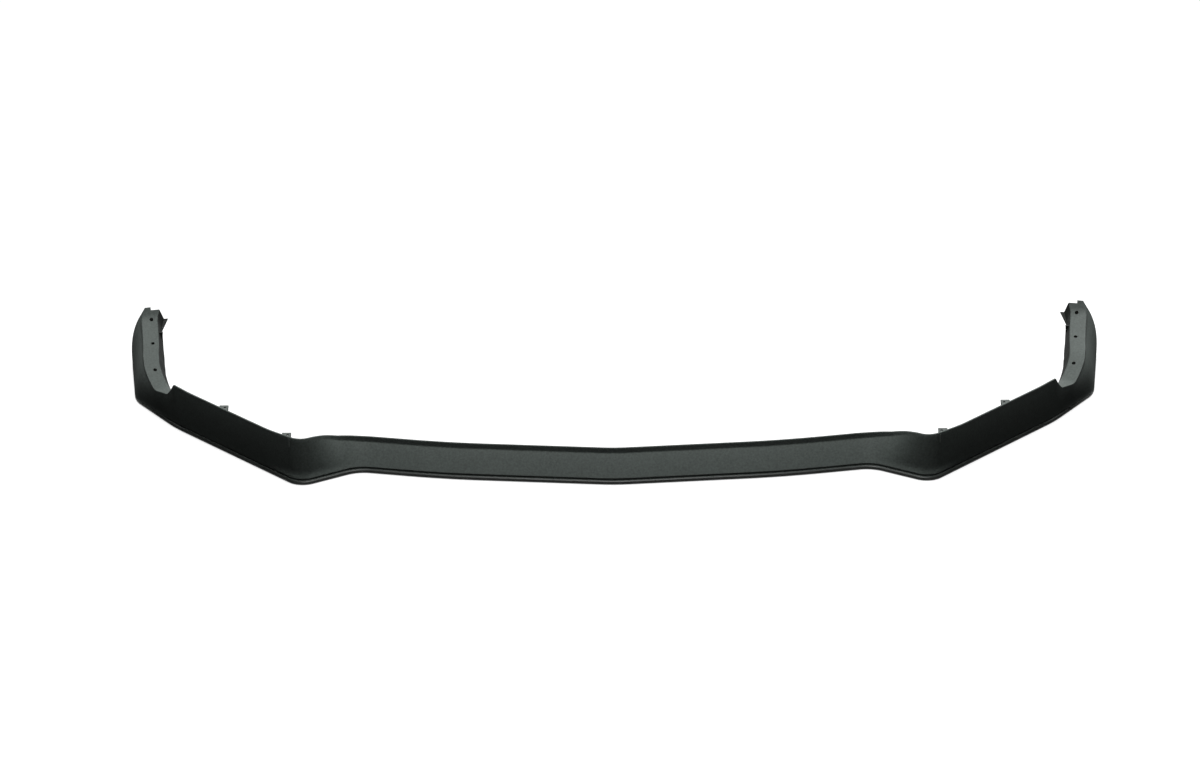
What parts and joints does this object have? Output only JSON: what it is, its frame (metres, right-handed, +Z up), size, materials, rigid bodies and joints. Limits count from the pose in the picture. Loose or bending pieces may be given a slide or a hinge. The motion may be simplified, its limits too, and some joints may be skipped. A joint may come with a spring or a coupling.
{
  "type": "front splitter lip",
  "caption": "Long moulded strip in a shallow U that follows a bumper's lower edge, with a toe bead, a flange below, and raised ends whose shelves take screws.",
  "frame": {"origin": "middle of the bounding box in plan, on the plane that the bottom flange stands on", "axes": "+X to the car's left-hand end as seen from the front, which is right in the picture; +Y rearwards; +Z up"},
  "size_m": [1.8536, 0.4846, 0.134],
  "materials": {
    "grained_black": "fine grain, moulded in black"
  },
  "bodies": {
    "root": {"splitter_lip": "grained_black"}
  },
  "joints": []
}
